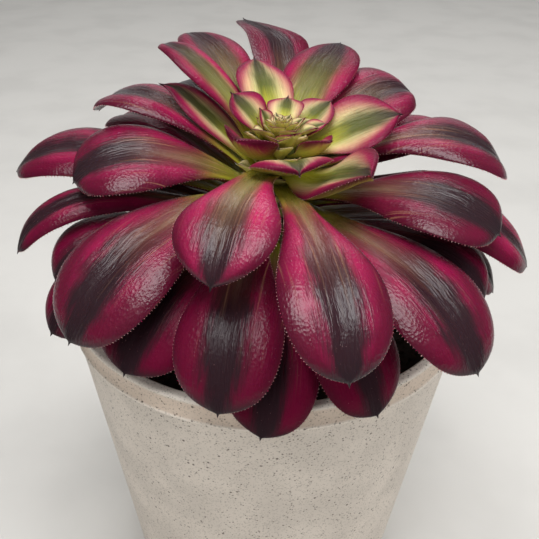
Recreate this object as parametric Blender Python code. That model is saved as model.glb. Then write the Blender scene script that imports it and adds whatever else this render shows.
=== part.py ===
"""Potted aeonium: a rosette of thick spatulate leaves on a short stem, planted in a tapered pot.

Metres, +Z up, with the origin at the centre of the pot's underside. -Y is the plant's show side.
Every leaf is its own piece, seated on the stem, and its place comes from one row of LEAVES.
"""

import math

import bmesh
import bpy
from mathutils import Vector

MM = 0.001
GAP = 0.0003  # left between pieces that touch

# Pot
RIM_RADIUS = 64.5 * MM
POT_HEIGHT = 116.0 * MM
BAND_HEIGHT = 8.0 * MM
BAND_STEP = 0.8 * MM  # how far the rim band stands out from the wall under it
WALL = 2.4 * MM
BASE_RADIUS = 50.0 * MM
BASE_THICKNESS = 3.0 * MM
EDGE_ROUND = 0.9 * MM  # on the rim and round the foot
POT_SIDES = 72

# Potting mix
SOIL_TOP = 102.0 * MM  # at the wall
SOIL_DOME = 3.0 * MM  # how much higher it is round the stem
SOIL_RINGS = (1.0, 0.75, 0.5, 0.3)  # rings of its top, as shares of the radius
SOIL_GAP = 0.4 * MM  # to the pot's wall; wider than GAP because the mix has fewer sides
SOIL_SIDES = 36

# Stem: upright in the mix, then a smooth curve to the crown, which leans towards the show side
STEM_FOOT = Vector((0.0, 0.0, 74.0)) * MM
STEM_START = Vector((0.0, 0.0, 106.0)) * MM  # where it leaves the mix
STEM_KNEE = Vector((0.0, 1.0, 132.0)) * MM
CROWN = Vector((3.2, -10.0, 171.0)) * MM
STEM_RADIUS = 8.5 * MM
CROWN_RADIUS = 2.6 * MM
CROWN_LENGTH = 30.0 * MM  # the stretch that narrows to the crown
STEM_RINGS = 14
STEM_SIDES = 20
SEAT_STEPS = 40  # halvings that find a leaf's place on the stem

# Growing tip: the closed bud in the middle of the rosette
BUD_RADIUS = 4.0 * MM
BUD_HEIGHT = 6.0 * MM
BUD_PROFILE = ((0.0, 0.55), (0.2, 0.92), (0.45, 1.0), (0.7, 0.78), (0.9, 0.4))  # (height, radius) shares
BUD_SIDES = 12

# Leaf shape, as shares of the leaf's length, width or thickness
STATIONS = (0.0, 0.07, 0.19, 0.33, 0.47, 0.60, 0.72, 0.83, 0.915, 0.97)
ACROSS = (1.0, 0.58, 0.0, -0.58, -1.0)
LEAF_THICKNESS = 3.6 * MM  # of a leaf LEAF_WIDTH wide
LEAF_WIDTH = 28.0 * MM
THINNER = 0.6  # power by which thickness follows width

# Outline: widens from the base to WIDEST, then rounds in to the tip
WIDEST = 0.69
WIDENING = 0.9
SHOULDER = 2.5
POINT = 0.62
BASE_MARGIN = 1.0 * MM  # the half width at the base is BASE_WIDE of the widest, and this much more
BASE_WIDE = 0.17
BASE_WIDEST = 0.42

# Thickness along the leaf: grows to full by FULL_BY, and thins from THIN_FROM to the tip
BASE_THICK = 0.62
FULL_BY = 0.4
THIN_FROM = 0.55
TIP_THICK = 0.28
EDGE_FULL = 0.6  # power of the section's curve from midrib to margin

# Midrib: a cubic curve whose handles are these shares of its reach
START_HANDLE = 0.38
END_HANDLE = 0.36
LINE_STEPS = 60
BOW_SCALE = 4  # a bow of 1 mm shifts the line's fullest part by about 0.6 mm

# The base is a channel round the stem, and the leaf takes its own cup and roll further out
CHANNEL = 0.30
CUP_BY = 0.6
ROLL_BY = 0.5
SEAT_GAP = 1.2 * GAP

# One row for each leaf, from the heart outwards:
# turn (degrees round the stem, 0 at +X, 270 at the show side), seat (mm down the stem from the crown),
# reach (mm from the crown's axis to the leaf's tip), tip height (mm above the floor),
# rise and end (degrees above level where it leaves the stem and at its tip), width (mm),
# roll (degrees, raising the edge on the anticlockwise side),
# bow (mm, how far the middle swings anticlockwise), cup (share of half the width)
INNER = (
    (80, 0.8, 12, 179, 75, 60, 11, 0, 0, 0.35),
    (155, 1.4, 7, 178, 80, 70, 8, 0, 0, 0.35),
    (292, 2.0, 9, 174, 60, 40, 8, 0, 0, 0.35),
    (8, 2.6, 14, 174, 50, 20, 7, 10, 0, 0.35),
    (42, 3.4, 21, 177, 30, 25, 12, 15, 0, 0.35),
    (152, 4.0, 17, 181, 70, 50, 13, -15, 0, 0.35),
    (328, 4.8, 17, 173, 20, 40, 12, -10, 0, 0.45),
    (228, 5.6, 19, 175, 30, 45, 18, 0, 0, 0.45),
    (106, 6.2, 32, 185, 60, 30, 18, 10, 0, 0.25),
    (282, 7.2, 24, 168, 5, -30, 23, 0, 0, 0.25),
)
MIDDLE = (
    (13, 8.0, 37, 175, 20, 5, 20, 30, 0, 0.30),
    (66, 9.0, 48, 187, 55, 20, 23, 0, 0, 0.10),
    (316, 9.6, 34, 168, -18, 18, 25, 18, 0, 0.35),
    (138, 10.2, 48, 188, 55, -20, 21, 0, 0, 0.10),
    (2, 10.2, 25, 166, 0, 0, 12, 0, 0, 0.20),
    (125, 12.8, 58, 188, 50, 0, 22, 0, 2, 0.10),
    (252, 10.4, 54, 150, 20, -62, 27, 0, 0, 0.0),
    (36, 12.6, 52, 174, 25, -35, 26, 20, 0, 0.05),
    (152, 13.8, 40, 181, 35, 30, 14, -10, 0, 0.20),
    (54, 16.0, 62, 170, 30, -45, 26, 0, 0, 0.0),
    (103, 15.0, 60, 192, 25, 40, 22, 10, 0, 0.10),
    (282, 13.6, 75, 140, 8, -64, 26, 0, 0, -0.05),
    (158, 16.8, 62, 169, 42, -55, 23, 0, 0, 0.0),
    (6, 17.2, 69, 158, 34, -52, 26, 8, 0, 0.0),
    (188, 18.6, 60, 158, 28, -50, 30, -18, 0, 0.0),
    (338, 19.4, 65, 152, 10, -40, 31, 10, 0, 0.0),
    (221, 20.6, 72, 130, 15, -60, 33, -10, 0, -0.05),
    (313, 21.8, 74, 128, 2, -62, 30, 6, 0, -0.05),
    (82, 20.4, 66, 170, 30, -35, 27, 0, 0, 0.0),
    (128, 21.6, 60, 170, 25, -30, 26, 0, 0, 0.0),
)
OUTER = (
    (148, 23.6, 66, 161, 22, -40, 25, 0, 0, -0.05),
    (24, 23.2, 66, 160, 25, -45, 27, 0, 0, -0.05),
    (174, 25.8, 82, 154, 19, -45, 26, -12, 0, -0.05),
    (257, 24.8, 65, 121, 8, -70, 28, 0, 0, -0.08),
    (350, 25.2, 75, 136, 25, -60, 31, 5, 0, -0.08),
    (194, 27.8, 77, 139, 12, -60, 27, -14, 0, -0.08),
    (331, 28.6, 66, 135, -6, -60, 27, 10, 0, -0.08),
    (110, 26.6, 74, 158, 25, -45, 28, 0, 0, -0.08),
    (62, 26.8, 74, 156, 25, -45, 28, 0, 0, -0.08),
    (296, 28.8, 61, 114, 5, -75, 25, 0, -4, -0.08),
    (231, 29.0, 64, 122, 6, -63, 32, -12, 0, -0.08),
    (266, 30.4, 60, 110, 0, -75, 26, 0, 4, -0.08),
    (136, 29.2, 72, 146, 15, -55, 28, 0, 0, -0.08),
    (36, 29.6, 70, 140, 10, -60, 28, 0, 0, -0.08),
    (201, 31.8, 68, 134, -10, -60, 27, -20, 0, -0.08),
    (343, 31.4, 67, 131, -15, -70, 25, 0, 0, -0.08),
    (86, 31.2, 72, 136, 5, -60, 28, 0, 0, -0.08),
    (164, 31.6, 70, 138, 5, -60, 27, 0, 0, -0.08),
    (207, 34.4, 72, 122, -8, -62, 30, -18, 0, -0.08),
    (112, 33.2, 66, 126, 0, -65, 26, 0, 0, -0.08),
    (14, 33.4, 64, 124, 0, -65, 26, 0, 0, -0.08),
    (60, 33.8, 64, 120, 0, -70, 26, 0, 0, -0.08),
)


def clear_scene():
    for item in list(bpy.data.objects):
        bpy.data.objects.remove(item)


def material(name, colour, roughness):
    made = bpy.data.materials.new(name)
    made.use_nodes = True
    shader = made.node_tree.nodes["Principled BSDF"]
    shader.inputs["Base Color"].default_value = (*colour, 1.0)
    shader.inputs["Roughness"].default_value = roughness
    shader.inputs["Metallic"].default_value = 0.0
    return made


def add_object(name, mesh_data, finish):
    mesh = bpy.data.meshes.new(name)
    mesh_data.to_mesh(mesh)
    mesh_data.free()
    mesh.materials.append(finish)
    mesh.shade_smooth()
    item = bpy.data.objects.new(name, mesh)
    bpy.context.scene.collection.objects.link(item)
    return item


def bridge(shape, rings):
    """Quads between each ring of vertices and the next, which run the same way round."""
    for lower, upper in zip(rings, rings[1:]):
        for i in range(len(lower)):
            j = (i + 1) % len(lower)
            shape.faces.new((lower[i], lower[j], upper[j], upper[i]))


def turned(name, outline, sides, finish):
    """A closed outline of (radius, height) points, turned about Z. Points at radius 0 become poles."""
    shape = bmesh.new()
    rings = []
    for radius, height in outline:
        if radius == 0:
            rings.append([shape.verts.new((0, 0, height))])
            continue
        turns = [2 * math.pi * i / sides for i in range(sides)]
        rings.append([shape.verts.new((radius * math.cos(a), radius * math.sin(a), height)) for a in turns])
    for lower, upper in zip(rings, rings[1:] + rings[:1]):
        if len(lower) == len(upper) == 1:
            continue
        for i in range(sides):
            j = (i + 1) % sides
            if len(lower) == 1:
                shape.faces.new((lower[0], upper[j], upper[i]))
            elif len(upper) == 1:
                shape.faces.new((lower[i], lower[j], upper[0]))
            else:
                shape.faces.new((lower[i], lower[j], upper[j], upper[i]))
    bmesh.ops.recalc_face_normals(shape, faces=shape.faces)
    return add_object(name, shape, finish)


def wall_radius(height):
    """The pot's outer radius under the rim band, at a height above the floor."""
    top = RIM_RADIUS - BAND_STEP
    return BASE_RADIUS + (top - BASE_RADIUS) * height / (POT_HEIGHT - BAND_HEIGHT)


def make_pot(finish):
    band_foot = POT_HEIGHT - BAND_HEIGHT
    bore = RIM_RADIUS - BAND_STEP - WALL
    outline = (
        (0, 0),
        (BASE_RADIUS - EDGE_ROUND, 0),
        (wall_radius(EDGE_ROUND), EDGE_ROUND),
        (wall_radius(band_foot), band_foot),
        (RIM_RADIUS, band_foot + BAND_STEP / 2),
        (RIM_RADIUS, POT_HEIGHT - EDGE_ROUND),
        (RIM_RADIUS - EDGE_ROUND, POT_HEIGHT),
        (bore + EDGE_ROUND, POT_HEIGHT),
        (bore, POT_HEIGHT - EDGE_ROUND),
        (wall_radius(BASE_THICKNESS) - WALL, BASE_THICKNESS),
        (0, BASE_THICKNESS),
    )
    return turned("pot", outline, POT_SIDES, finish)


def inner_radius(height):
    """The pot's inner radius at a height, on the straight wall between its floor and its rim."""
    low = wall_radius(BASE_THICKNESS) - WALL
    high = RIM_RADIUS - BAND_STEP - WALL
    top = POT_HEIGHT - EDGE_ROUND
    return low + (high - low) * (height - BASE_THICKNESS) / (top - BASE_THICKNESS)


def make_soil(finish):
    floor = BASE_THICKNESS + GAP
    well = STEM_RADIUS + GAP
    foot = STEM_FOOT.z - GAP
    dome = [
        (inner_radius(SOIL_TOP) * share - SOIL_GAP, SOIL_TOP + SOIL_DOME * (1 - share**2))
        for share in SOIL_RINGS
    ]
    outline = (
        (0, floor),
        (inner_radius(floor) - SOIL_GAP, floor),
        *dome,
        (well, SOIL_TOP + SOIL_DOME),
        (well, foot),
        (0, foot),
    )
    return turned("potting_mix", outline, SOIL_SIDES, finish)


def stem_point(share):
    """A point on the stem's centre line, from where it leaves the mix at 0 to the crown at 1."""
    rest = 1 - share
    return rest * rest * STEM_START + 2 * rest * share * STEM_KNEE + share * share * CROWN


def stem_direction(share):
    return (stem_point(share + 0.01) - stem_point(share - 0.01)).normalized()


def stem_seat(seat):
    """(point, direction) on the stem's centre line, this far below the crown."""
    low, high = 0.0, 1.0
    for _ in range(SEAT_STEPS):
        middle = (low + high) / 2
        if (CROWN - stem_point(middle)).length > seat:
            low = middle
        else:
            high = middle
    return stem_point(high), stem_direction(high)


def stem_radius(seat):
    narrowing = min(1.0, seat / CROWN_LENGTH)
    return CROWN_RADIUS + (STEM_RADIUS - CROWN_RADIUS) * math.sqrt(narrowing)


def ring_at(shape, centre, along, radius, sides):
    """A ring of vertices round a line that runs along the given direction."""
    side = Vector((0, 1, 0)).cross(along).normalized()
    other = along.cross(side)
    turns = [2 * math.pi * i / sides for i in range(sides)]
    return [shape.verts.new(centre + radius * (math.cos(a) * side + math.sin(a) * other)) for a in turns]


def make_stem(finish):
    shape = bmesh.new()
    rings = [ring_at(shape, STEM_FOOT, Vector((0, 0, 1)), STEM_RADIUS, STEM_SIDES)]
    for i in range(STEM_RINGS):
        share = i / (STEM_RINGS - 1)
        centre = stem_point(share)
        radius = stem_radius((CROWN - centre).length)
        rings.append(ring_at(shape, centre, stem_direction(share), radius, STEM_SIDES))
    bridge(shape, rings)
    shape.faces.new(list(reversed(rings[0])))
    shape.faces.new(rings[-1])
    bmesh.ops.recalc_face_normals(shape, faces=shape.faces)
    return add_object("stem", shape, finish)


def make_bud(finish):
    """The growing tip: an egg shape that stands on the end of the stem, along it."""
    along = stem_direction(1)
    start = CROWN + along * GAP
    shape = bmesh.new()
    rings = [
        ring_at(shape, start + along * BUD_HEIGHT * share, along, BUD_RADIUS * wide, BUD_SIDES)
        for share, wide in BUD_PROFILE
    ]
    bridge(shape, rings)
    shape.faces.new(list(reversed(rings[0])))
    tip = shape.verts.new(start + along * BUD_HEIGHT)
    for i in range(BUD_SIDES):
        shape.faces.new((rings[-1][i], rings[-1][(i + 1) % BUD_SIDES], tip))
    bmesh.ops.recalc_face_normals(shape, faces=shape.faces)
    return add_object("growing_tip", shape, finish)


def smooth(share):
    share = min(1.0, max(0.0, share))
    return share * share * (3 - 2 * share)


def half_width(t, narrow):
    """A leaf's half width as a share of its greatest: narrow at the base, widest past the middle, pointed."""
    if t < WIDEST:
        return narrow + (1 - narrow) * smooth(t / WIDEST) ** WIDENING
    past = (t - WIDEST) / (1 - WIDEST)
    return (1 - past**SHOULDER) ** POINT


def half_thickness(t):
    """A leaf's half thickness as a share of its greatest: thinner at the base, thinnest at the tip."""
    if t < THIN_FROM:
        return BASE_THICK + (1 - BASE_THICK) * smooth(t / FULL_BY)
    return 1 - (1 - TIP_THICK) * smooth((t - THIN_FROM) / (1 - THIN_FROM))


def leaf_line(base, tip, outward, rise, end, bow):
    """Points along the midrib, a cubic curve that leaves at one slope and ends at another."""
    reach = (tip - base).length
    up = Vector((0, 0, 1))
    first = base + START_HANDLE * reach * (math.cos(rise) * outward + math.sin(rise) * up)
    last = tip - END_HANDLE * reach * (math.cos(end) * outward + math.sin(end) * up)
    line = []
    for i in range(LINE_STEPS + 1):
        t = i / LINE_STEPS
        s = 1 - t
        point = s**3 * base + 3 * s * s * t * first + 3 * s * t * t * last + t**3 * tip
        line.append(point + up.cross(outward) * BOW_SCALE * bow * t * t * s)
    return line


def along_line(line, share):
    """(point, direction) at a share of the line's length."""
    lengths = [(b - a).length for a, b in zip(line, line[1:])]
    want = share * sum(lengths)
    for (a, b), length in zip(zip(line, line[1:]), lengths):
        if want <= length + 1e-12:
            return a + (b - a) * (want / length), (b - a).normalized()
        want -= length
    return line[-1], (line[-1] - line[-2]).normalized()


def make_leaf(name, row, finish):
    turn, seat, reach, tip_height, rise, end, width, roll, bow, cup = row
    turn, rise, end, roll = (math.radians(x) for x in (turn, rise, end, roll))
    outward = Vector((math.cos(turn), math.sin(turn), 0))
    sideways = Vector((-math.sin(turn), math.cos(turn), 0))
    thick = LEAF_THICKNESS / 2 * (width * MM / LEAF_WIDTH) ** THINNER
    clear = SEAT_GAP + thick * half_thickness(0) / 2 * abs(math.sin(rise))
    centre, stem_way = stem_seat(seat * MM)
    off_stem = (outward - stem_way * outward.dot(stem_way)).normalized()
    base = centre + off_stem * (stem_radius(seat * MM) + clear)
    tip = Vector((CROWN.x, CROWN.y, 0)) + outward * reach * MM
    tip.z = tip_height * MM
    line = leaf_line(base, tip, outward, rise, end, bow * MM)
    half = width * MM / 2
    narrow = min(BASE_WIDEST, BASE_WIDE + BASE_MARGIN / half)

    shape = bmesh.new()
    rings = []
    for t in STATIONS:
        point, along = along_line(line, t)
        side = (sideways - along * sideways.dot(along)).normalized()
        normal = along.cross(side)
        lean = roll * smooth(t / ROLL_BY)
        edge = side * math.cos(lean) + normal * math.sin(lean)
        face = normal * math.cos(lean) - side * math.sin(lean)
        wide = half * half_width(t, narrow)
        deep = thick * half_thickness(t)
        bend = (CHANNEL + (cup - CHANNEL) * smooth(t / CUP_BY)) * wide
        top = [(u, bend * u * u + deep * (1 - u * u) ** EDGE_FULL) for u in ACROSS]
        under = [(u, bend * u * u - deep * (1 - u * u) ** EDGE_FULL) for u in reversed(ACROSS[1:-1])]
        rings.append([shape.verts.new(point + edge * (u * wide) + face * z) for u, z in top + under])
    bridge(shape, rings)
    shape.faces.new(list(reversed(rings[0])))
    point, _ = along_line(line, 1.0)
    pole = shape.verts.new(point)
    last = rings[-1]
    for i in range(len(last)):
        shape.faces.new((last[i], last[(i + 1) % len(last)], pole))
    bmesh.ops.recalc_face_normals(shape, faces=shape.faces)
    return add_object(name, shape, finish)


def main():
    clear_scene()
    make_pot(material("speckled_pot", (0.62, 0.56, 0.49), 0.5))
    make_soil(material("potting_mix", (0.02, 0.015, 0.012), 0.95))
    make_stem(material("stem_bark", (0.20, 0.13, 0.07), 0.8))
    make_bud(material("bud_green", (0.55, 0.60, 0.25), 0.5))
    tiers = (
        ("inner_leaf", INNER, material("leaf_inner", (0.50, 0.45, 0.18), 0.45)),
        ("middle_leaf", MIDDLE, material("leaf_middle", (0.36, 0.10, 0.12), 0.42)),
        ("outer_leaf", OUTER, material("leaf_outer", (0.22, 0.02, 0.06), 0.40)),
    )
    for tier, rows, finish in tiers:
        for number, row in enumerate(rows, start=1):
            make_leaf(f"{tier}_{number:02d}", row, finish)


main()
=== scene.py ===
"""Potted aeonium: the finish of every piece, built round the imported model.

A rosette of fleshy, dark-striped leaves with toothed margins and a heart of small pale leaves,
on a short stem in a speckled pot. Metres, +Z up. Each fine leaf follows its own solid in the frame.
"""

import math

import bmesh
import bpy
import numpy as np
from mathutils import Matrix, Vector, noise


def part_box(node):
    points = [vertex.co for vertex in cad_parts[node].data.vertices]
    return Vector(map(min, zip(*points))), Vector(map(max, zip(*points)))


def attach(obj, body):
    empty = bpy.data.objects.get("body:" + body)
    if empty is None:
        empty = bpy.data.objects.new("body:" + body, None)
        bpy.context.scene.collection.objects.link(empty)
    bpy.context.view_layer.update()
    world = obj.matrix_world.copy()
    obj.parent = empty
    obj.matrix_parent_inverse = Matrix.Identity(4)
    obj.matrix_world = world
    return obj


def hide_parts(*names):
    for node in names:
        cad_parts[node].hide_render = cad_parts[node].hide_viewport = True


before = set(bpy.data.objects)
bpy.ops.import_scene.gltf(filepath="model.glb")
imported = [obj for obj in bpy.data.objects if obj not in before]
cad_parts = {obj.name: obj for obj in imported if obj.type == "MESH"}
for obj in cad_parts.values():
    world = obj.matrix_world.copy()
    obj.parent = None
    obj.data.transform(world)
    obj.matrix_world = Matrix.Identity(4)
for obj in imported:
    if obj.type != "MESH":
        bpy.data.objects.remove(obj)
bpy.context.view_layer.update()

bl_info = {
    "name": "Potted Aeonium",
    "version": (1, 0, 0),
    "blender": (4, 5, 0),
    "location": "3D View > Sidebar > Aeonium",
    "description": "Builds the leaves, heart, stem, mix and pot of a potted aeonium",
    "category": "Object",
}

MM = 0.001
BODY = "root"
CROWN = sum(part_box("growing_tip"), Vector()) / 2

# A CAD leaf is ten rings of eight points and a tip. STATIONS are the rings' places along it
STATIONS = (0.0, 0.07, 0.19, 0.33, 0.47, 0.60, 0.72, 0.83, 0.915, 0.97)
RING = 8
WIDEST = 0.69  # share of the length at which a leaf is widest
GOLDEN = math.radians(137.5)  # turn from each small leaf or scar to the next


# ---- sizes and colours that a user may change


def length(name, value, text):
    return bpy.props.FloatProperty(name=name, default=value, unit="LENGTH", precision=5, description=text)


def power(name, value, text):
    return bpy.props.FloatProperty(name=name, default=value, min=0.0, unit="POWER", description=text)


def colour(name, value, text):
    return bpy.props.FloatVectorProperty(
        name=name, default=value, size=3, subtype="COLOR", min=0.0, max=1.0, description=text
    )


def group(kind, name, text):
    return bpy.props.PointerProperty(type=kind, name=name, description=text)


class LeafSettings(bpy.types.PropertyGroup):
    row_spacing: length("Row spacing", 1.15 * MM, "Distance between the mesh rows along a leaf")
    mucro: length("Tip point", 1.3 * MM, "Length of the small dark point at a leaf's tip")
    groove: length("Groove", 0.45 * MM, "Depth of the channel along the middle of a leaf")
    pillow: length("Pillow", 0.95 * MM, "How far each half of a leaf swells beside the channel")
    furrow: length("Furrows", 0.16 * MM, "Height of the fine lengthwise furrows")
    wave: length("Margin wave", 0.60 * MM, "How far a leaf's margin waves up and down")
    tooth_spacing: length("Tooth spacing", 0.92 * MM, "Distance between the teeth along a margin")
    tooth_height: length("Tooth height", 0.34 * MM, "Height of a tooth on a leaf of full size")
    cream: colour("Cream", (0.78, 0.66, 0.33), "Flanks of the pale leaves")
    lime: colour("Lime", (0.41, 0.40, 0.028), "Foot of every leaf")
    green: colour("Green", (0.066, 0.082, 0.009), "Stripe of the pale leaves")
    olive: colour("Olive", (0.150, 0.108, 0.024), "The stripe's stretch nearest the foot")
    russet: colour("Russet", (0.100, 0.036, 0.028), "The stripe's middle stretch")
    charcoal: colour("Charcoal", (0.018, 0.009, 0.012), "The stripe's outer stretch, and the tip")
    rose: colour("Rose", (0.42, 0.014, 0.088), "Flanks of the younger red leaves")
    # Wine is also painted shade: the tips, the margins and the leaves that lie in shade turn towards it
    wine: colour("Wine", (0.105, 0.003, 0.021), "Flanks of the oldest leaves")
    plum: colour("Plum", (0.060, 0.003, 0.014), "Margins of the red leaves")
    # Tan is partly painted highlight: glints along the furrows
    tan: colour("Tan", (0.46, 0.25, 0.13), "Fine pale lines along the red leaves")
    tooth: colour("Tooth", (0.50, 0.27, 0.27), "Teeth along the margins")


class StemSettings(bpy.types.PropertyGroup):
    scars: bpy.props.IntProperty(name="Scars", default=34, min=0, description="Scars on the bare stem")
    scar_width: length("Scar width", 3.4 * MM, "Width of a leaf scar round the stem")
    scar_turn: bpy.props.FloatProperty(
        name="Turn", default=GOLDEN, subtype="ANGLE", description="Turn from each scar to the next"
    )
    bark: colour("Bark", (0.17, 0.105, 0.055), "Old bark low on the stem")
    young: colour("Young bark", (0.16, 0.17, 0.045), "Green bark near the crown")


class MixSettings(bpy.types.PropertyGroup):
    crumbs: bpy.props.FloatProperty(
        name="Crumbs", default=230000.0, min=0.0, description="Crumbs for each square metre of surface"
    )
    crumb_size: length("Crumb size", 0.95 * MM, "Mean radius of a crumb")
    relief: length("Relief", 1.1 * MM, "Height of the mix's lumps")
    peat: colour("Peat", (0.020, 0.013, 0.009), "Moist peat")
    bark: colour("Bark chips", (0.075, 0.042, 0.022), "The paler bits in the mix")


class PotSettings(bpy.types.PropertyGroup):
    wall: length("Wall", 2.4 * MM, "Thickness of the pot's wall at the rim")
    band: length("Rim band", 8.0 * MM, "Height of the band round the rim")
    step: length("Band step", 0.8 * MM, "How far the band stands out from the wall")
    bead: length("Bead", 0.45 * MM, "Height of the fine bead along the band's lower edge")
    shell: colour("Shell", (0.585, 0.525, 0.46), "Ground colour of the moulding")
    band_tint: colour("Band", (0.62, 0.50, 0.40), "The rim band, a little warmer than the rest")
    # Painted highlight: the lip and the bead are painted paler, where they catch the light
    edge_highlight: colour("Edge highlight", (0.80, 0.74, 0.66), "The lip and the bead, paler than the rest")
    speck: colour("Specks", (0.075, 0.050, 0.032), "Dark specks in the moulding")
    # The inner wall, down from the rim, is a darker brown
    inside: colour("Inside", (0.30, 0.235, 0.17), "Darker brown inner wall")


class StageSettings(bpy.types.PropertyGroup):
    floor: colour("Floor", (0.585, 0.572, 0.546), "The plain pale floor")
    top: power("Top", 15.0, "Softbox overhead")
    back: power("Back", 3.8, "Softbox high at the back")
    side: power("Side", 14.0, "Matt fill from the right")
    front: power("Front", 5.0, "Matt fill from the front")
    wall: power("Wall", 9.0, "Glow of the wall behind")
    air: bpy.props.FloatProperty(name="Air", default=0.14, description="Strength of the even light")


class AeoniumSettings(bpy.types.PropertyGroup):
    leaf: group(LeafSettings, "Leaves", "Leaves and heart")
    stem: group(StemSettings, "Stem", "Stem and its scars")
    mix: group(MixSettings, "Mix", "Potting mix")
    pot: group(PotSettings, "Pot", "Pot")
    stage: group(StageSettings, "Stage", "Floor, light and camera")


def settings():
    return bpy.context.scene.aeonium


# ---- node graphs


def math_node(operation, swapped=False):
    """A method that adds a Math node. Swapped, the value itself is the second term."""

    def method(self, *others):
        terms = (*others, self) if swapped else (self, *others)
        return self.graph.node("ShaderNodeMath", {"operation": operation}, dict(enumerate(terms)))

    return method


class Value:
    """A socket of a node graph. Arithmetic on it adds Math nodes."""

    __add__ = __radd__ = math_node("ADD")
    __sub__ = math_node("SUBTRACT")
    __rsub__ = math_node("SUBTRACT", swapped=True)
    __mul__ = __rmul__ = math_node("MULTIPLY")
    __pow__ = math_node("POWER")
    __abs__ = math_node("ABSOLUTE")
    most = math_node("MAXIMUM")
    sine = math_node("SINE")
    cosine = math_node("COSINE")

    def __init__(self, graph, socket):
        self.graph = graph
        self.socket = socket

    def ease(self, low, high):
        """0 up to low, 1 from high on, and a smooth step between."""
        fed = {"Value": self, "From Min": low, "From Max": high}
        return self.graph.node("ShaderNodeMapRange", {"interpolation_type": "SMOOTHSTEP"}, fed)

    def split(self):
        """The three parts of a vector."""
        node = self.graph.node("ShaderNodeSeparateXYZ", {}, {0: self}).socket.node
        return [Value(self.graph, out) for out in node.outputs]


class Graph:
    """Adds nodes to a material's or a Geometry Nodes tree."""

    def __init__(self, tree):
        self.tree = tree

    def feed(self, socket, value):
        if isinstance(value, Value):
            self.tree.links.new(value.socket, socket)
        elif socket.type == "RGBA" and len(value) == 3:
            socket.default_value = (*value, 1.0)
        else:
            socket.default_value = value

    def node(self, kind, options=None, fed=None, out=0):
        made = self.tree.nodes.new(kind)
        for key, value in (options or {}).items():
            if key == "stops":
                self._stops(made.color_ramp, value)
            else:
                setattr(made, key, value)
        for key, value in (fed or {}).items():
            self.feed(made.inputs[key], value)
        return Value(self, made.outputs[out])

    def vector(self, x, y, z):
        return self.node("ShaderNodeCombineXYZ", {}, {0: x, 1: y, 2: z})

    @staticmethod
    def _stops(ramp, stops):
        while len(ramp.elements) < len(stops):
            ramp.elements.new(0.5)
        for element, (place, tint) in zip(ramp.elements, stops):
            element.position = place
            element.color = (*tint, 1.0)


class Finish(Graph):
    """A material whose surface is one Principled shader."""

    def __init__(self, name, **constants):
        self.material = bpy.data.materials.new(name)
        self.material.use_nodes = True
        super().__init__(self.material.node_tree)
        self.shader = self.tree.nodes["Principled BSDF"]
        for key, value in constants.items():
            self.feed(self.shader.inputs[key.replace("_", " ")], value)

    def surface(self, tint, roughness, normal):
        for key, value in (("Base Color", tint), ("Roughness", roughness), ("Normal", normal)):
            self.feed(self.shader.inputs[key], value)
        return self.material

    def attribute(self, name):
        return self.node("ShaderNodeAttribute", {"attribute_name": name}, out="Vector")

    def place(self):
        """A point's own place on its piece, in metres."""
        return self.node("ShaderNodeTexCoord", out="Object")

    def mix(self, first, second, amount):
        made = self.node("ShaderNodeMix", {"data_type": "RGBA"}, {0: amount, 6: first, 7: second}, out=2)
        made.socket.node.clamp_factor = True
        return made

    def grain(self, vector, scale, detail=2.0, roughness=0.5):
        fed = {"Vector": vector, "Scale": scale, "Detail": detail, "Roughness": roughness}
        return self.node("ShaderNodeTexNoise", {}, fed)

    def cells(self, vector, scale):
        """0 at the middle of each of many scattered cells, and more towards its edges."""
        return self.node("ShaderNodeTexVoronoi", {}, {"Vector": vector, "Scale": scale}, out="Distance")

    def ramp(self, value, stops):
        return self.node("ShaderNodeValToRGB", {"stops": stops}, {0: value})

    def bump(self, height, distance, strength=1.0):
        fed = {"Height": height, "Distance": distance, "Strength": strength}
        return self.node("ShaderNodeBump", {}, fed, out="Normal")


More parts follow.
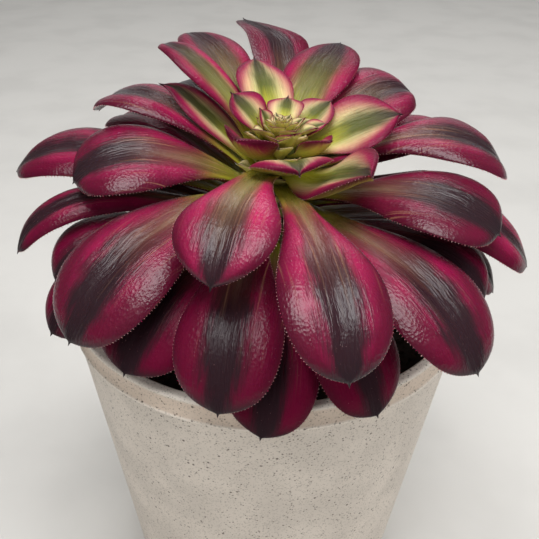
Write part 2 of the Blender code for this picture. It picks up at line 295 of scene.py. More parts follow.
class Builder(Graph):
    """A Geometry Nodes tree with named inputs, which takes a mesh and gives one."""

    def __init__(self, name, **inputs):
        super().__init__(bpy.data.node_groups.new(name, "GeometryNodeTree"))
        face = self.tree.interface
        face.new_socket("Geometry", in_out="INPUT", socket_type="NodeSocketGeometry")
        for key, value in inputs.items():
            kind = "NodeSocketInt" if isinstance(value, int) else "NodeSocketFloat"
            face.new_socket(key.replace("_", " "), in_out="INPUT", socket_type=kind)
        face.new_socket("Geometry", in_out="OUTPUT", socket_type="NodeSocketGeometry")
        self.values = {key.replace("_", " "): value for key, value in inputs.items()}
        self.entry = self.tree.nodes.new("NodeGroupInput")

    def input(self, name):
        return Value(self, self.entry.outputs[name])

    def chance(self, low, high, number, kind="FLOAT"):
        """A random number for each point, between low and high."""
        first, out = (0, 0) if kind == "FLOAT_VECTOR" else (2, 1)
        fed = {first: low, first + 1: high, "Seed": number}
        return self.node("FunctionNodeRandomValue", {"data_type": kind}, fed, out=out)

    def stored(self, name, kind="FLOAT"):
        """What each point holds under this name."""
        return self.node("GeometryNodeInputNamedAttribute", {"data_type": kind}, {"Name": name})

    def dots_along(self, mode, size):
        """Evenly spaced points along the lines that come in: a COUNT of them, or one for each LENGTH."""
        curve = self.node("GeometryNodeMeshToCurve", {}, {0: self.input("Geometry")})
        fed = {"Curve": curve, mode.title(): self.input(size)}
        spaced = self.node("GeometryNodeResampleCurve", {"mode": mode}, fed)
        return self.node("GeometryNodeCurveToPoints", {"mode": "EVALUATED"}, {"Curve": spaced})

    def facing(self, way):
        return self.node("FunctionNodeAlignRotationToVector", {"axis": "Z"}, {"Vector": way})

    def scaled(self, vector, size):
        return self.node("ShaderNodeVectorMath", {"operation": "SCALE"}, {0: vector, "Scale": size})

    def copies(self, points, item, turn, size):
        """One copy of item at each point."""
        fed = {"Points": points, "Instance": item, "Rotation": turn, "Scale": size}
        return self.node("GeometryNodeInstanceOnPoints", {}, fed)

    def finish(self, geometry, material):
        """Ends the tree: instances become real, and everything takes the material."""
        real = self.node("GeometryNodeRealizeInstances", {}, {0: geometry})
        painted = self.node("GeometryNodeSetMaterial", {}, {"Geometry": real, "Material": material})
        self.feed(self.tree.nodes.new("NodeGroupOutput").inputs[0], painted)

    def run(self, item, name):
        """Turns item, through this tree, into a plain mesh object, and removes item."""
        modifier = item.modifiers.new("build", "NODES")
        modifier.node_group = self.tree
        for socket in self.tree.interface.items_tree:
            if socket.in_out == "INPUT" and socket.name in self.values:
                modifier[socket.identifier] = self.values[socket.name]
        graph = bpy.context.evaluated_depsgraph_get()
        mesh = bpy.data.meshes.new_from_object(item.evaluated_get(graph), depsgraph=graph)
        item.modifiers.clear()
        bpy.data.objects.remove(item)
        mesh.name = name
        return show(name, mesh)


# ---- meshes


def show(name, data):
    """A new object with this data, in the scene."""
    item = bpy.data.objects.new(name, data)
    bpy.context.scene.collection.objects.link(item)
    return item


def mesh_object(name, points, faces, material):
    mesh = bpy.data.meshes.new(name)
    mesh.from_pydata([tuple(point) for point in points], [], faces)
    mesh.materials.append(material)
    mesh.shade_smooth()
    return show(name, mesh)


def settle(piece, slot, *nodes):
    """Fixes a finished piece to the body, in place of these CAD nodes."""
    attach(piece, BODY)
    if nodes:
        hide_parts(*nodes)


def lines_object(name, points, edges, key, sizes):
    """Bare lines for a node tree, each point with a size that it holds under this key."""
    mesh = bpy.data.meshes.new(name)
    mesh.from_pydata(points, edges, [])
    layer = mesh.attributes.new(key, "FLOAT", "POINT")
    layer.data.foreach_set("value", np.asarray(sizes, np.float32))
    return show(name, mesh)


def tube_faces(rows, ring):
    """Faces of rows x ring points laid row by row and closed at the start, with a last point as the tip."""
    faces = []
    for row in range(rows - 1):
        for i in range(ring):
            j = (i + 1) % ring
            low, high = row * ring, (row + 1) * ring
            faces.append((low + i, low + j, high + j, high + i))
    tip = rows * ring
    last = (rows - 1) * ring
    faces += [(last + i, last + (i + 1) % ring, tip) for i in range(ring)]
    faces.append(tuple(reversed(range(ring))))
    return faces


def add_vectors(mesh, name, values):
    layer = mesh.attributes.new(name, "FLOAT_VECTOR", "POINT")
    layer.data.foreach_set("vector", np.asarray(values, np.float32).ravel())


def ease(value, low, high):
    """0 up to low, 1 from high on, and a smooth step between."""
    x = np.clip((value - low) / (high - low), 0.0, 1.0)
    return x * x * (3 - 2 * x)


def curve_through(places, values, at):
    """Values at the given places, on a smooth curve through the known ones."""
    places, values = np.asarray(places), np.asarray(values, float)
    slopes = np.gradient(values, places, axis=0)
    k = np.clip(np.searchsorted(places, at, side="right") - 1, 0, len(places) - 2)
    step = places[k + 1] - places[k]
    x = (at - places[k]) / step
    if values.ndim > 1:
        x, step = x[:, None], step[:, None]
    start, end = values[k], values[k + 1]
    rise, fall = slopes[k] * step, slopes[k + 1] * step
    return (
        (2 * x**3 - 3 * x**2 + 1) * start
        + (x**3 - 2 * x**2 + x) * rise
        + (3 * x**2 - 2 * x**3) * end
        + (x**3 - x**2) * fall
    )


def unit(vectors):
    return vectors / np.linalg.norm(vectors, axis=-1, keepdims=True)


def level_way(turn):
    """The level way out from the axis at this turn."""
    return np.array((math.cos(turn), math.sin(turn), 0.0))


def ripple(x, y, z):
    """Smooth noise, from -1 to 1, at each place of the arrays."""
    flat = np.broadcast_arrays(x, y, z)
    values = [noise.noise(Vector(place)) for place in zip(*(part.ravel() for part in flat))]
    return np.array(values).reshape(flat[0].shape)


# ---- the CAD solids, read ring by ring


def node_points(node):
    """A CAD node's points, and how far each is from the axis."""
    points = np.array([v.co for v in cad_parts[node].data.vertices])
    return points, np.hypot(points[:, 0], points[:, 1])


def merged(node):
    """A copy of a CAD node's mesh, with its loose triangles joined."""
    shape = bmesh.new()
    shape.from_mesh(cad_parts[node].data)
    bmesh.ops.remove_doubles(shape, verts=shape.verts, dist=1e-6)
    shape.verts.ensure_lookup_table()
    return shape


def layers_from(start):
    """The vertices in layers, each one edge further from the start."""
    seen, layer, layers = set(start), list(start), []
    while layer:
        layer = list({edge.other_vert(v) for v in layer for edge in v.link_edges} - seen)
        seen.update(layer)
        if layer:
            layers.append(layer)
    return layers


def in_order(layer):
    """A ring's vertices in order round it. An edge of the ring has a face that leaves the ring."""
    members = set(layer)
    near = {v: [] for v in layer}
    for v in layer:
        for edge in v.link_edges:
            other = edge.other_vert(v)
            leaves = any(not members.issuperset(face.verts) for face in edge.link_faces)
            if other in members and leaves:
                near[v].append(other)
    start = min(layer, key=lambda v: v.index)
    ring = [start]
    while len(ring) < len(layer):
        ring.append(min((v for v in near[ring[-1]] if v not in ring), key=lambda v: v.index))
    return ring


class Blade:
    """What a CAD leaf gives at each of its rings, base first, and at its tip."""

    def __init__(self, node):
        shape = merged(node)
        for vert in shape.verts:
            layers = layers_from([vert])
            if [len(layer) for layer in layers] == [RING] * len(STATIONS):
                break
        else:
            raise RuntimeError(f"{node} isn't made of rings round a tip")
        self.tip = np.array(vert.co)
        rings = [np.array([v.co for v in in_order(layer)]) for layer in reversed(layers)]
        shape.free()
        way = self.tip[:2] - np.array(CROWN)[:2]
        sideways = unit(np.array((-way[1], way[0], 0.0)))
        middles = [ring.mean(axis=0) for ring in rings] + [self.tip]
        ahead = np.diff(middles, axis=0)
        rows = [self._read(ring, along, sideways) for ring, along in zip(rings, ahead)]
        self.centre, self.side, self.normal, self.half, self.deep, self.bend = (
            np.array(column) for column in zip(*rows)
        )
        steps = np.diff(np.vstack((self.centre, [self.tip])), axis=0)
        self.length = float(np.linalg.norm(steps, axis=1).sum())

    @staticmethod
    def _read(ring, along, sideways):
        """(centre, side, normal, half width, half depth, rise of the margins) of one ring."""
        half_ring = RING // 2
        spans = [np.linalg.norm(ring[i] - ring[i + half_ring]) for i in range(half_ring)]
        i = int(np.argmax(spans))
        plus, minus = ring[i], ring[i + half_ring]
        quarter = RING // 4
        upper, lower = ring[i + quarter], ring[(i - quarter) % RING]
        if (plus - minus) @ sideways < 0:
            plus, minus = minus, plus
        side = unit(plus - minus)
        if (upper - lower) @ np.cross(along, side) < 0:
            upper, lower = lower, upper
        centre = (upper + lower) / 2
        normal = unit(upper - lower)
        bend = ((plus + minus) / 2 - centre) @ normal
        return centre, side, normal, spans[i] / 2, np.linalg.norm(upper - lower) / 2, bend


# ---- leaves

FEWEST_ROWS, MOST_ROWS = 22, 74  # mesh rows along a leaf
LEAF_COLUMNS, SPROUT_COLUMNS, SCALE_COLUMNS = 29, 13, 9  # points across the upper face
FULL_HALF = 14 * MM  # half width of a leaf whose relief is at full height
FULL_TOOTH_HALF = 13 * MM  # half width of a leaf whose teeth are at full height
SPINE_HALF = 0.42 * MM  # greatest half width of the dark point at a tip
FURROW_WIDTH, FURROW_LENGTH = 1.7 * MM, 22 * MM
WAVE_LENGTH, SWAY_LENGTH = 17 * MM, 21 * MM
SUNK_FOOT = 1.1 * MM  # how far a fine leaf's foot is drawn back towards the stem

LEAVES = sorted(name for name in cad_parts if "_leaf_" in name)

# A tier's share of cream, and its shares of the darkest red from first leaf to last. The darkest red is
# partly the older leaves' own colour and partly painted shade: it is set higher on the low outer leaves that
# lie in shade.
TIERS = {"inner": (1.0, 0.0, 0.0), "middle": (0.06, 0.05, 0.62), "outer": (0.0, 0.72, 1.05)}
# How much each finish of the leaves shines
GLOSS = {"young": 0.17, "middle": 0.43, "outer": 0.22, "old": 0.08}

# Where single leaves differ. pale and dark are the shares above. wide and cup scale the CAD leaf's
# width and its channel. waist: how long a leaf stays narrow from its foot. widest: at what share of
# its length. blunt: how full its end is. broad: what share of the half width its stripe gains.
# lean, hook and roll, in millimetres: its body to one side, its tip to one side, its tip downwards.
# fold, in millimetres: the lift of its first margin, or of its second where it is negative
# dark is partly painted shade: it is raised on the leaves that lie in shade and lowered on the lit ones at
# the back
TRAITS = {
    "inner": {
        6: dict(pale=0.8, dark=0.15),
        7: dict(pale=0.72, dark=0.1),
        8: dict(pale=0.48, dark=0.3),
        10: dict(cup=0.35),
    },
    "middle": {
        1: dict(pale=0.9, blunt=-0.08),
        2: dict(pale=0.6, blunt=0.1, broad=0.16),
        3: dict(pale=0.85, blunt=0.02, cup=0.45, fold=-1.6, lean=2.0, hook=-2.5),
        4: dict(pale=0.58, wide=0.62, lean=5.0, hook=-3.0, blunt=0.06, broad=0.1),
        5: dict(pale=0.8),
        6: dict(pale=0.45, wide=0.95, lean=-3.0, hook=1.0, broad=0.14),
        7: dict(pale=0.36, waist=2.3, blunt=-0.16, dark=0.04),
        8: dict(pale=0.39),
        9: dict(pale=0.8, wide=0.85, hook=3.0, dark=0.15),
        10: dict(pale=0.15),
        11: dict(
            pale=0.38, blunt=0.14, wide=1.0, widest=0.82,
            lean=-11.5, hook=11.0, roll=1.0, broad=0.08,
        ),
        12: dict(pale=0.1, waist=2.3, dark=0.3),
        14: dict(waist=2.5, wide=1.18, blunt=0.28, widest=0.8, lean=0.8, hook=2.6),
        15: dict(blunt=0.06),
        16: dict(waist=1.8, blunt=0.08, dark=0.77, broad=0.08),
        18: dict(waist=1.6, roll=-0.4),
        19: dict(wide=0.8, lean=-2.0, roll=2.4),
    },
    "outer": {
        1: dict(dark=0.3, broad=-0.3),
        2: dict(dark=0.45, broad=-0.2),
        3: dict(dark=0.45, broad=-0.08),
        4: dict(dark=0.77, waist=1.8),
        5: dict(dark=0.18, broad=-0.12, blunt=0.1, wide=0.93),
        6: dict(waist=1.5, wide=0.52, lean=-4.6, hook=2.2, dark=0.45),
        7: dict(waist=0.8, roll=1.65),
        14: dict(waist=2.2, wide=0.42, lean=-15.0, hook=3.0, roll=9.0),
        15: dict(dark=0.7, broad=-0.1),
        16: dict(waist=0.7, roll=1.1),
        19: dict(wide=0.84),
        21: dict(waist=0.7, roll=1.8),
    },
}


class Growth:
    """What sets one leaf apart from the next."""

    usual = dict(waist=1.25, blunt=0.0, wide=1.0, cup=1.0, broad=0.0, lean=0.0, hook=0.0, roll=0.0, fold=0.0)

    def __init__(self, seed, pale, dark, **traits):
        self.seed, self.pale, self.dark = seed, pale, dark
        for key, value in {**self.usual, **traits}.items():
            setattr(self, key, value * MM if key in ("lean", "hook", "roll", "fold") else value)
        if "widest" not in traits:
            self.widest = WIDEST - 0.13 * pale + 0.04 * (self.waist - 1)


def growth_of(node):
    tier, number = node.split("_leaf_")
    peers = [name for name in LEAVES if name.startswith(tier)]
    pale, low, high = TIERS[tier]
    traits = {"pale": pale, "dark": low + (high - low) * int(number) / len(peers)}
    traits.update(TRAITS[tier].get(int(number), {}))
    return Growth(LEAVES.index(node) * 0.731, **traits)


def skin_of(node):
    """Which of the finishes a leaf wears: pale leaves are satin, and the oldest are almost matt."""
    growth = growth_of(node)
    if growth.pale >= 0.4:
        return "young"
    return "old" if growth.dark > 0.78 else node.split("_leaf_")[0]


def outline(t, narrow, end, growth):
    """A leaf's half width as a share of its greatest, closing at end.

    A red leaf is a spatula with a blunt end. A pale one is broad from its foot and more pointed.
    """
    pale, widest = growth.pale, growth.widest
    narrow = narrow + (0.52 - narrow) * pale
    widening = narrow + (1 - narrow) * ease(t, 0.0, widest) ** (growth.waist - 0.3 * pale)
    past = np.clip((t - widest) / (end - widest), 0.0, 1.0)
    closing = 1 - past ** (2.4 - 0.4 * pale)
    closing = np.clip(closing, 0.0, 1.0) ** (0.50 + 0.30 * pale - growth.blunt + 0.10 * past**12)
    return np.where(t < widest, widening, closing)


def rows_along(blade, spacing):
    """Shares of the length, closer together towards the tip."""
    count = int(np.clip(blade.length / spacing, FEWEST_ROWS, MOST_ROWS))
    x = np.linspace(0.0, 1.0, count)
    return (1 - (1 - x) ** 1.35)[:-1]


class Sheet:
    """A fine leaf's points, row by row, with the values that its finish reads."""

    def __init__(self, blade, growth, look, columns):
        self.blade, self.growth = blade, growth
        t = rows_along(blade, look.row_spacing)
        centre = curve_through((*STATIONS, 1.0), np.vstack((blade.centre, [blade.tip])), t)
        side = unit(curve_through(STATIONS, blade.side, t))
        normal = unit(curve_through(STATIONS, blade.normal, t))
        deep = curve_through(STATIONS, blade.deep, t)
        cup = growth.cup * curve_through(STATIONS, blade.bend / blade.half, t)
        widest = growth.wide * blade.half.max()
        mucro = min(look.mucro, 0.09 * blade.length)
        end = 1 - mucro / blade.length
        half = widest * outline(t, blade.half[0] / widest, end, growth)
        beyond = (t - end) * blade.length / mucro
        fading = np.clip(1 - beyond, 0, 1) * np.exp(np.clip(beyond, -9, 0) * 1.6)
        half = np.maximum(half, min(SPINE_HALF, 0.1 * widest) * fading)
        deep = np.minimum(deep, half * 0.8)

        under_columns = columns // 2 + 1
        over = np.sin(np.linspace(math.pi / 2, -math.pi / 2, columns))
        under = np.sin(np.linspace(-math.pi / 2, math.pi / 2, under_columns + 2))[1:-1]
        u = np.concatenate((over, under))[None, :]
        self.top = np.concatenate((np.ones(columns), np.zeros(under_columns)))
        face = 2 * self.top[None, :] - 1
        rim = 1 - u * u
        size = widest / FULL_HALF
        body = ease(t, 0.05, 0.3)[:, None] * (1 - ease(t, 0.88, 1.0))[:, None]
        z = cup[:, None] * half[:, None] * u * u + face * deep[:, None] * rim**0.55
        across, along = u * half[:, None], (t * blade.length)[:, None]
        groove = np.exp(-((u / 0.2) ** 2)) * (1 - ease(t, 0.6, 0.9))[:, None]
        lobes = look.pillow * np.abs(u) * rim * 2.6 * ease(t, 0.3, 0.62)[:, None]
        furrows = ripple(across / FURROW_WIDTH, along / FURROW_LENGTH, growth.seed) * rim
        upper = lobes - look.groove * groove * (1 - 0.6 * growth.pale)
        upper = upper + look.furrow * furrows * (1.3 - np.abs(u))
        lower = -0.5 * look.pillow * np.exp(-((u / 0.25) ** 2))
        z = z + size * body * np.where(face > 0, upper, lower)
        wave = ripple(np.sign(u) * 3.1, along / WAVE_LENGTH, growth.seed + 5.0) * np.abs(u) ** 3
        z = z + size * look.wave * body * wave
        sway = ripple(np.sign(u) * 1.7, along / SWAY_LENGTH, growth.seed + 9.0) * np.abs(u) ** 2 * 0.4
        across = across + size * look.wave * body * sway
        late = ease(t, 0.58, 1.0)[:, None] ** 2
        across = across + growth.lean * ease(t, 0.1, 0.7)[:, None] + growth.hook * late**5
        folded = np.clip(u * np.sign(growth.fold), 0, 1) ** 2
        lifted = abs(growth.fold) * ease(t, 0.25, 0.75)[:, None] * folded
        z = z + lifted - growth.roll * late
        self.tip = blade.tip + side[-1] * (growth.lean + growth.hook) - normal[-1] * growth.roll
        self.points = centre[:, None] + side[:, None] * across[:, :, None] + normal[:, None] * z[:, :, None]
        self.points[0] += unit(blade.centre[0] - blade.centre[1]) * SUNK_FOOT
        self.u, self.t, self.half, self.columns = u, t, half, columns

    def vertices(self):
        return np.vstack((self.points.reshape(-1, 3), [self.tip]))

    def faces(self):
        return tube_faces(*self.points.shape[:2])

    def values(self):
        """(blade, growth, laid_out) of each vertex. The last is centimetres across and along, and broad."""
        growth, t = self.growth, self.t[:, None]
        span = self.blade.length * 100
        across = self.u * self.half[:, None] * 100
        blade = self._per_vertex((self.u, t, self.top[None, :]), (0.0, 1.0, 1.0))
        laid = self._per_vertex((across, t * span, growth.broad), (0.0, span, growth.broad))
        return blade, np.tile((growth.pale, growth.dark, growth.seed), (len(blade), 1)), laid

    @staticmethod
    def _per_vertex(parts, at_tip):
        return np.vstack((np.stack(np.broadcast_arrays(*parts), axis=-1).reshape(-1, 3), [at_tip]))

    def margins(self):
        """(points, way out, greatest half width) of each margin, where it has teeth."""
        use = (self.t > 0.16) & (self.t < 0.985)
        for column, other in ((0, 1), (self.columns - 1, self.columns - 2)):
            line = self.points[:, column]
            yield line[use], unit(line - self.points[:, other] + 1e-9)[use], self.blade.half.max()


def sheets_object(name, sheets, material):
    """One mesh of these leaves, with the values their finish reads."""
    points, faces, values = [], [], []
    for sheet in sheets:
        start = len(points)
        points += list(sheet.vertices())
        faces += [tuple(start + i for i in face) for face in sheet.faces()]
        values.append(sheet.values())
    made = mesh_object(name, points, faces, material)
    for key, parts in zip(("blade", "growth", "laid_out"), zip(*values)):
        add_vectors(made.data, key, np.vstack(parts))
    return made


def make_leaf(node, material, look):
    """The fine leaf that stands for a CAD leaf. Gives its margins."""
    sheet = Sheet(Blade(node), growth_of(node), look, LEAF_COLUMNS)
    leaf = sheets_object("fine_" + node, [sheet], material)
    settle(leaf, "leaf_" + node.split("_leaf_")[0], node)
    return list(sheet.margins())


def leaf_finish(skin, look, gloss):
    """Fleshy leaf: a stripe down the middle, flanks of cream or red, and darker margins."""
    made = Finish(
        "leaf_" + skin,
        IOR=1.43,
        Specular_IOR_Level=gloss,
        Subsurface_Weight=0.06,
        Subsurface_Scale=0.002,
    )
    u, t, top = made.attribute("blade").split()
    pale, dark, seed = made.attribute("growth").split()
    x, y, broad = made.attribute("laid_out").split()
    wide = abs(u)
    streak = made.grain(made.vector(x * 7.0, y * 0.7, seed * 9.0), 1.0, 3.0)
    fine = made.grain(made.vector(x * 24.0, y * 1.8, seed * 5.0), 1.0, 2.0)
    cloud = made.grain(made.vector(x, y, seed * 3.0), 1.3, 2.0)
    feather = (streak - 0.5) * 0.34 + (fine - 0.5) * 0.30

    near_foot = 1 - t.ease(0.12, 0.52)
    reach = 0.47 + broad - pale * 0.04 + near_foot * 0.34 * (1 - pale) + (cloud - 0.5) * 0.24 - dark * 0.09
    soft = 0.19 + pale * 0.12
    stripe = (reach - wide + feather * (1 - pale * 0.4)).ease(soft * -1, soft)
    age = t - pale * 0.30 + dark * 0.14 + feather * 0.45
    old_tint = made.ramp(age, [(0.15, look.olive), (0.46, look.russet), (0.75, look.charcoal)])
    young_tint = made.ramp(age, [(0.0, look.lime), (0.26, look.green), (0.66, look.charcoal)])
    stripe_tint = made.mix(old_tint, young_tint, pale.ease(0.1, 0.75))
    # The red turns from rose to wine with a leaf's darkest-red share, towards its tip and towards its
    # margins: partly the leaves' own deeper colour there, partly painted shade on the lower, drooping parts
    # and on the leaves that lie in shade
    age_and_shade = dark * 0.9 + (cloud - 0.5) * 0.5 + t.ease(0.50, 1.0) * 0.55 + wide.ease(0.40, 1.0) * 0.62
    red = made.mix(look.rose, look.wine, age_and_shade - pale * 0.10)
    blush = (wide * 0.9 + t * 0.55 + t**4 * 0.30 + feather * 0.4 - pale * 0.75).ease(-0.15, 0.50)
    flank = made.mix(look.cream, red, blush)
    flank = made.mix(flank, look.lime, (1 - t.ease(0.10, 0.36)) * (1 - wide * 0.35))
    edge = (wide + t * 0.16 + feather * 0.2).ease(0.86, 1.16) * (0.85 - pale * 0.45)
    flank = made.mix(flank, look.plum, edge)
    thinned = 0.40 * (1 - abs(t - 0.42).ease(0.02, 0.24)) * fine * (1 - pale)
    tint = made.mix(flank, stripe_tint, stripe * (0.96 - thinned))
    tint = made.mix(tint, look.lime, (1 - t.ease(0.0, 0.30)) * 0.75)
    # Fine tan lines along each leaf, from its foot to past its middle: partly its own pale streaks, partly
    # painted highlight along the furrows
    lines = made.grain(made.vector(x * 15.0, y * 0.4, seed * 7.0), 1.0, 1.0)
    pale_lines_and_glint = lines.ease(0.60, 0.76) * t.ease(0.06, 0.2) * (1 - t.ease(0.5, 0.85)) * 0.30
    tint = made.mix(tint, look.tan, pale_lines_and_glint * (1 - pale * 0.7))
    dots = (1 - made.cells(made.vector(x, y, seed), 9.0).ease(0.03, 0.09)) * cloud.ease(0.42, 0.55)
    tint = made.mix(tint, look.tooth, dots * 0.55)
    tint = made.mix(tint, look.charcoal, (t + feather * 0.05).ease(0.90, 0.985))
    ripe = t * 0.7 + wide * 0.6 - pale * 0.80 + feather
    beneath = made.mix(look.lime, look.cream, pale * 0.25)
    beneath = made.mix(beneath, red, ripe.ease(0.08, 0.60))
    beneath = made.mix(beneath, look.plum, (wide + t * 0.3).ease(0.75, 1.25) * (0.8 - pale * 0.5))
    tint = made.mix(beneath, tint, top)

    wrinkle = made.cells(made.vector(x * 15.0 + streak * 3.0, y * 11.0 + cloud * 3.0, seed), 1.0)
    creases = made.grain(made.vector(x * 7.5 + cloud * 1.5, y * 0.7, seed * 2.0), 1.0, 3.0, 0.6)
    height = fine * (0.10 + stripe * 0.12) + wrinkle * (0.46 - stripe * 0.28)
    height = height + creases * (0.16 + stripe * 2.4)
    roughness = 0.22 + pale * 0.16 + dark * 0.08 + (cloud - 0.5) * 0.12 + (fine - 0.5) * 0.06
    return made.surface(tint, roughness, made.bump(height, 0.30 * MM, 0.75))


def tooth_finish(look):
    made = Finish("leaf_teeth", IOR=1.42, Subsurface_Weight=0.1, Subsurface_Scale=0.001)
    speckle = made.grain(made.place(), 900.0)
    tint = made.mix(look.tooth, look.rose, speckle.ease(0.45, 0.65))
    return made.surface(tint, 0.4 + speckle * 0.1, made.bump(speckle, 0.02 * MM))


def margin_object(margins, height):
    """The margins as lines, each point with the way out of the leaf and the size of its teeth."""
    points, outward, sizes, edges = [], [], [], []
    for line, out, half in margins:
        start = len(points)
        points += [tuple(p) for p in line]
        outward += [tuple(o) for o in out]
        sizes += [height * float(np.clip(half / FULL_TOOTH_HALF, 0.35, 1.0))] * len(line)
        edges += [(start + i, start + i + 1) for i in range(len(line) - 1)]
    item = lines_object("margins", points, edges, "tooth", sizes)
    add_vectors(item.data, "outward", outward)
    return item


def teeth_tree(tier, look, material):
    """A small cone every so often along each line, pointing outwards."""
    tree = Builder("teeth_" + tier, Spacing=float(look.tooth_spacing), Seed=7)
    dots = tree.dots_along("LENGTH", "Spacing")
    shape = {"Vertices": 5, "Radius Top": 0.16, "Radius Bottom": 0.42, "Depth": 1.0}
    cone = tree.node("GeometryNodeMeshCone", {"fill_type": "NGON"}, shape)
    way = tree.stored("outward", "FLOAT_VECTOR")
    size = tree.stored("tooth") * tree.chance(0.65, 1.15, tree.input("Seed"))
    tree.finish(tree.copies(dots, cone, tree.facing(way), size), material)
    return tree


# ---- heart

HEART_AXIS = unit(np.array((0.0, -0.16, 1.0)))  # the heart leans a little to the front


class Sprout:
    """A small leaf, given as a CAD leaf is: by its centre, side, normal, half width, depth and bend."""

    def __init__(self, foot, turn, span, half, lean, curl):
        out = level_way(turn)
        side = np.array((-out[1], out[0], 0.0))
        places = np.array((*STATIONS, 1.0))
        leans = lean + curl * places
        steps = np.diff(places, prepend=0.0)[:, None] * span
        way = out * np.sin(leans)[:, None] + HEART_AXIS * np.cos(leans)[:, None]
        line = foot + np.cumsum(way * steps, axis=0)
        self.centre, self.tip = line[:-1], line[-1]
        count = len(STATIONS)
        self.side = np.tile(side, (count, 1))
        self.normal = unit(np.cross(way[:-1], side))
        self.half = half * np.clip(np.sin(math.pi * (0.2 + 0.75 * places[:-1])), 0.3, 1)
        self.deep = np.linspace(0.55, 0.25, count) * min(1 * MM, 0.3 * half)
        self.bend = self.half * 0.42
        self.length = span


YOUNG_LEAVES, IN_THE_BUD = 22, 6  # all the small leaves, and how many of them make the bud


def heart_sheets(first, last, look):
    """Sheets of the small leaves from the first to the last, the youngest first."""
    top = np.array((CROWN.x, CROWN.y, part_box("growing_tip")[1].z))
    for number in range(first, last):
        old = (number + 0.5) / YOUNG_LEAVES
        turn = 0.6 + number * GOLDEN
        foot = top - HEART_AXIS * (3.0 + 6.5 * old) * MM + level_way(turn) * 3.4 * old * MM
        span, half = (2.2 + 9.0 * old) * MM, (0.8 + 3.4 * old) * MM
        lean, curl = 0.10 + 0.66 * old, 0.35 + 0.25 * old
        sprout = Sprout(foot, turn, span, half, lean, curl)
        yield Sheet(sprout, Growth(number * 0.37, 1.30, 0.55), look, SPROUT_COLUMNS)


def make_heart(look, material):
    """The bud, and the ring of small leaves that closes round it."""
    bud = sheets_object("heart", list(heart_sheets(0, IN_THE_BUD, look)), material)
    settle(bud, "bud_green", "growing_tip")
    ring = sheets_object("young_leaves", list(heart_sheets(IN_THE_BUD, YOUNG_LEAVES, look)), material)
    settle(ring, "leaf_inner")


SCALE_HEIGHTS = np.linspace(138 * MM, 167 * MM, 40)
SCALE_LENGTH, SCALE_HALF = 8.5 * MM, 4.2 * MM


def make_scales(look, material):
    """The fleshy leaf bases that sheathe the stem below the heart."""
    centres, radii, _ = stem_rings()
    sheets = []
    for number, height in enumerate(SCALE_HEIGHTS):
        at = np.array([np.interp(height, centres[:, 2], centres[:, axis]) for axis in range(3)])
        wide = np.interp(height, centres[:, 2], radii)
        turn = number * GOLDEN
        foot = at + level_way(turn) * (wide - 0.6 * MM)
        sprout = Sprout(foot, turn, SCALE_LENGTH, SCALE_HALF, 0.55, 0.5)
        sheets.append(Sheet(sprout, Growth(number * 0.53, 1.7, 0.2), look, SCALE_COLUMNS))
    settle(sheets_object("leaf_bases", sheets, material), "stem_bark")


# ---- stem

STEM_RING = 20  # points in each ring of the CAD stem
STEM_ROWS, STEM_SIDES = 90, 48
BARE_TOP = 165 * MM  # height up to which the stem has scars


def stem_rings():
    """(centres, radii, along) of the CAD stem's rings, foot first."""
    shape = merged("stem")
    lowest = sorted(shape.verts, key=lambda v: v.co.z)[:STEM_RING]
    layers = [lowest, *layers_from(lowest)]
    rings = [np.array([v.co for v in layer]) for layer in layers]
    shape.free()
    centres = np.array([ring.mean(axis=0) for ring in rings])
    radii = np.array([np.linalg.norm(ring - mid, axis=1).mean() for ring, mid in zip(rings, centres)])
    return centres, radii, unit(np.gradient(centres, axis=0))


def stem_finish(look):
    made = Finish("stem_bark", IOR=1.4)
    place = made.place()
    _, _, height = place.split()
    grain = made.grain(place, 420.0, 4.0, 0.6)
    blotch = made.grain(place, 90.0, 3.0)
    green = (height + blotch * 0.02).ease(0.128, 0.158)
    tint = made.mix(look.bark, look.young, green)
    tint = made.mix(tint, tuple(0.35 * c for c in look.bark), grain.ease(0.5, 0.72))
    return made.surface(tint, 0.62 + (grain - 0.5) * 0.2, made.bump(grain + blotch, 0.25 * MM, 0.7))


def make_stem(look):
    material = stem_finish(look)
    centres, radii, along = stem_rings()
    t = np.linspace(0, len(centres) - 1, STEM_ROWS)
    knots = np.arange(len(centres))
    middle, radius = curve_through(knots, centres, t), curve_through(knots, radii, t)
    ahead = unit(curve_through(knots, along, t))
    side = unit(np.cross((0, 1, 0), ahead))
    other = np.cross(ahead, side)
    angle = np.linspace(0, 2 * math.pi, STEM_SIDES, endpoint=False)[None, :]
    round_x, round_y = np.cos(angle), np.sin(angle)
    rough = ripple(round_x * 2.2, round_y * 2.2, middle[:, 2:] / (5 * MM)) * 0.25 * MM
    wide = radius[:, None] - 0.3 * MM + rough
    points = (
        middle[:, None, :]
        + side[:, None, :] * (wide * round_x)[:, :, None]
        + other[:, None, :] * (wide * round_y)[:, :, None]
    )
    rows, ring = points.shape[:2]
    points = np.vstack((points.reshape(-1, 3), [middle[-1]]))
    stem = mesh_object("bark_stem", points, tube_faces(rows, ring), material)
    settle(stem, "stem_bark", "stem")

    bare = (middle[:, 2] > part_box("potting_mix")[1].z) & (middle[:, 2] < BARE_TOP)
    spots = [tuple(p) for p in middle[bare]]
    edges = [(i, i + 1) for i in range(len(spots) - 1)]
    line = lines_object("stem_line", spots, edges, "radius_here", radius[bare] - 0.25 * MM)
    settle(scar_tree(look, material).run(line, "leaf_scars"), "stem_bark")


